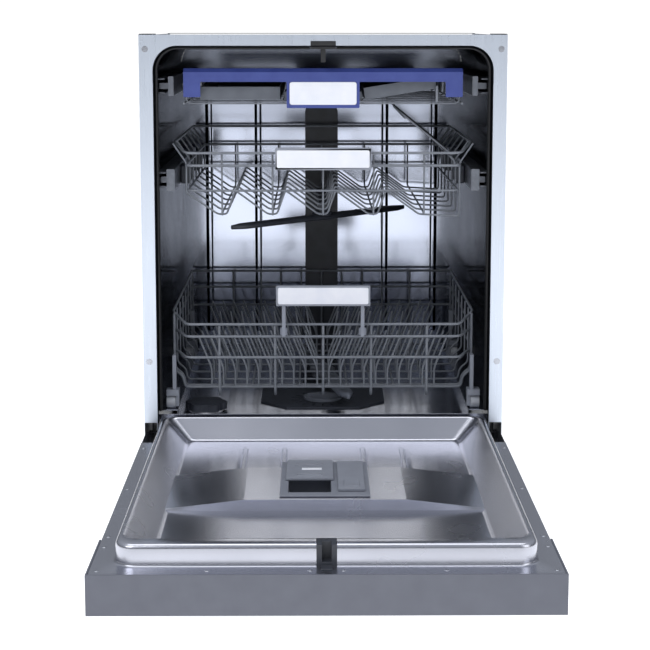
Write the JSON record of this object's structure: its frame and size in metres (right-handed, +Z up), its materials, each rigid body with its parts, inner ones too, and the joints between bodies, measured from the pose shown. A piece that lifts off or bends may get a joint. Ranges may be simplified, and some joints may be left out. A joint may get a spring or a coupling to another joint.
{
  "type": "built in dishwasher",
  "caption": "Built-in dishwasher with its drop-down door open, steel tub, sliding wire racks, cutlery drawer, spray arms and filter.",
  "frame": {"origin": "centre of the bounding box's underside, at floor height under the levelling feet", "axes": "+X to the right as seen from in front, +Y from the door towards the back, +Z up"},
  "size_m": [0.6, 1.2864, 0.8515],
  "materials": {
    "steel": "satin stainless sheet",
    "bright_steel": "fine brushed stainless sheet",
    "zinc": "zinc coated sheet",
    "screws": "bright plated",
    "black_paint": "black coated sheet",
    "rubber": "soft black",
    "felt": "bitumen backed felt",
    "dark_plastic": "fine matte",
    "grey_plastic": "fine matte",
    "fascia": "grey lacquer",
    "wire": "nylon coated wire",
    "white_plastic": "fine matte",
    "silver_plastic": "satin silver",
    "blue_plastic": "satin blue",
    "display": "gloss black",
    "rail_zinc": "rolled steel"
  },
  "bodies": {
    "cabinet": {"tub_wrap": "steel", "tub_back": "bright_steel", "tub_floor": "bright_steel", "front_trim": "bright_steel", "trim_screw_caps": "screws", "worktop_brackets": "black_paint", "door_gasket": "rubber", "latch_strike": "dark_plastic", "side_panels": "zinc", "rear_panel": "zinc", "insulation_blanket": "felt", "base_pan": "dark_plastic", "levelling_feet": "rubber", "toe_kick": "black_paint", "sump": "dark_plastic", "wash_pump": "dark_plastic", "drain_pump": "dark_plastic", "inlet_valve": "white_plastic", "salt_container": "white_plastic", "rear_duct": "dark_plastic", "coarse_filter": "dark_plastic", "hinge_brackets": "black_paint", "rail_guides": "rail_zinc"},
    "door": {"door_outer_panel": "bright_steel", "door_liner": "steel", "control_fascia": "fascia", "display_window": "display", "door_latch": "dark_plastic", "dispenser_body": "grey_plastic", "hinge_arms": "rail_zinc", "liner_screws": "screws"},
    "lower_rack": {"lower_basket": "wire", "lower_handle": "grey_plastic", "lower_handle_insert": "silver_plastic", "wheel_carriers": "dark_plastic"},
    "upper_rack": {"upper_basket": "wire", "upper_handle": "grey_plastic", "upper_handle_insert": "silver_plastic", "height_adjusters": "grey_plastic", "upper_arm_feed": "dark_plastic"},
    "cutlery_drawer": {"tray_frame": "wire", "tray_handle": "blue_plastic", "tray_handle_insert": "silver_plastic", "cutlery_trays": "grey_plastic"},
    "filter_cup": {"filter_cup": "grey_plastic"},
    "salt_cap": {"salt_cap": "dark_plastic"},
    "lower_spray_arm": {"lower_spray_arm": "grey_plastic"},
    "detergent_lid": {"detergent_lid": "grey_plastic"},
    "rinse_aid_lid": {"rinse_aid_lid": "grey_plastic"},
    "power_button": {"power_button": "fascia"},
    "programme_button": {"programme_button": "fascia"},
    "start_button": {"start_button": "fascia"},
    "lower_tines": {"lower_tines": "wire"},
    "front_wheels": {"lower_wheels_front": "white_plastic"},
    "rear_wheels": {"lower_wheels_rear": "white_plastic"},
    "cup_shelf": {"cup_shelf": "wire"},
    "upper_spray_arm": {"upper_spray_arm": "dark_plastic"},
    "upper_rails": {"upper_rails": "rail_zinc"},
    "right_tray": {"cutlery_tray_right": "grey_plastic"},
    "tray_rails": {"tray_rails": "rail_zinc"}
  },
  "joints": [
    {"name": "door_hinge", "type": "hinge", "parent": "cabinet", "child": "door", "pos_m": [0, 0.03825, 0.1645], "axis": [1, 0, 0], "range_deg": [-90, 0]},
    {"name": "detergent_lid_slide", "type": "slide", "parent": "door", "child": "detergent_lid", "axis": [0, -1, 0], "range_m": [0, 0.058]},
    {"name": "rinse_aid_lid_hinge", "type": "hinge", "parent": "door", "child": "rinse_aid_lid", "pos_m": [0.0385, -0.16875, 0.2038], "axis": [1, 0, 0], "range_deg": [-80, 0]},
    {"name": "power_press", "type": "slide", "parent": "door", "child": "power_button", "axis": [0, 0, 1], "range_m": [0, 0.0015], "stiffness_N_per_m": 800},
    {"name": "programme_press", "type": "slide", "parent": "door", "child": "programme_button", "axis": [0, 0, 1], "range_m": [0, 0.0015], "stiffness_N_per_m": 800},
    {"name": "start_press", "type": "slide", "parent": "door", "child": "start_button", "axis": [0, 0, 1], "range_m": [0, 0.0015], "stiffness_N_per_m": 800},
    {"name": "lower_rack_slide", "type": "slide", "parent": "cabinet", "child": "lower_rack", "axis": [0, -1, 0], "range_m": [0, 0.5]},
    {"name": "front_wheel_spin", "type": "hinge", "parent": "lower_rack", "child": "front_wheels", "pos_m": [0, 0.11525, 0.2328], "axis": [1, 0, 0], "continuous": true},
    {"name": "rear_wheel_spin", "type": "hinge", "parent": "lower_rack", "child": "rear_wheels", "pos_m": [0, 0.54025, 0.2328], "axis": [1, 0, 0], "continuous": true},
    {"name": "tine_fold", "type": "hinge", "parent": "lower_rack", "child": "lower_tines", "pos_m": [0, 0.35525, 0.25895], "axis": [-1, 0, 0], "range_deg": [0, 75]},
    {"name": "upper_rack_slide", "type": "slide", "parent": "cabinet", "child": "upper_rack", "axis": [0, -1, 0], "range_m": [0, 0.44]},
    {"name": "upper_rail_slide", "type": "slide", "parent": "cabinet", "child": "upper_rails", "axis": [0, -1, 0], "range_m": [0, 0.22]},
    {"name": "cup_shelf_fold", "type": "hinge", "parent": "upper_rack", "child": "cup_shelf", "pos_m": [0.214, 0.15325, 0.652], "axis": [0, 1, 0], "range_deg": [-38, 3]},
    {"name": "upper_arm_spin", "type": "hinge", "parent": "upper_rack", "child": "upper_spray_arm", "pos_m": [0, 0.35175, 0.52], "axis": [0, 0, 1], "continuous": true},
    {"name": "cutlery_drawer_slide", "type": "slide", "parent": "cabinet", "child": "cutlery_drawer", "axis": [0, -1, 0], "range_m": [0, 0.44]},
    {"name": "drawer_rail_slide", "type": "slide", "parent": "cabinet", "child": "tray_rails", "axis": [0, -1, 0], "range_m": [0, 0.22]},
    {"name": "right_tray_tilt", "type": "hinge", "parent": "cutlery_drawer", "child": "right_tray", "pos_m": [0.1885, 0.35275, 0.7614], "axis": [0, 1, 0], "range_deg": [0, 9]},
    {"name": "filter_twist", "type": "hinge", "parent": "cabinet", "child": "filter_cup", "pos_m": [0, 0.23625, 0.2], "axis": [0, 0, 1], "range_deg": [0, 75]},
    {"name": "salt_cap_turn", "type": "hinge", "parent": "cabinet", "child": "salt_cap", "pos_m": [-0.202, 0.16825, 0.21], "axis": [0, 0, 1], "range_deg": [0, 330]},
    {"name": "lower_arm_spin", "type": "hinge", "parent": "cabinet", "child": "lower_spray_arm", "pos_m": [0, 0.35825, 0.23], "axis": [0, 0, 1], "continuous": true}
  ],
  "couplings": [
    {"joint": "front_wheel_spin", "follows": "lower_rack_slide", "rad_per_m": 90.909},
    {"joint": "rear_wheel_spin", "follows": "lower_rack_slide", "rad_per_m": 90.909},
    {"joint": "upper_rail_slide", "follows": "upper_rack_slide", "ratio": 0.5},
    {"joint": "drawer_rail_slide", "follows": "cutlery_drawer_slide", "ratio": 0.5}
  ]
}
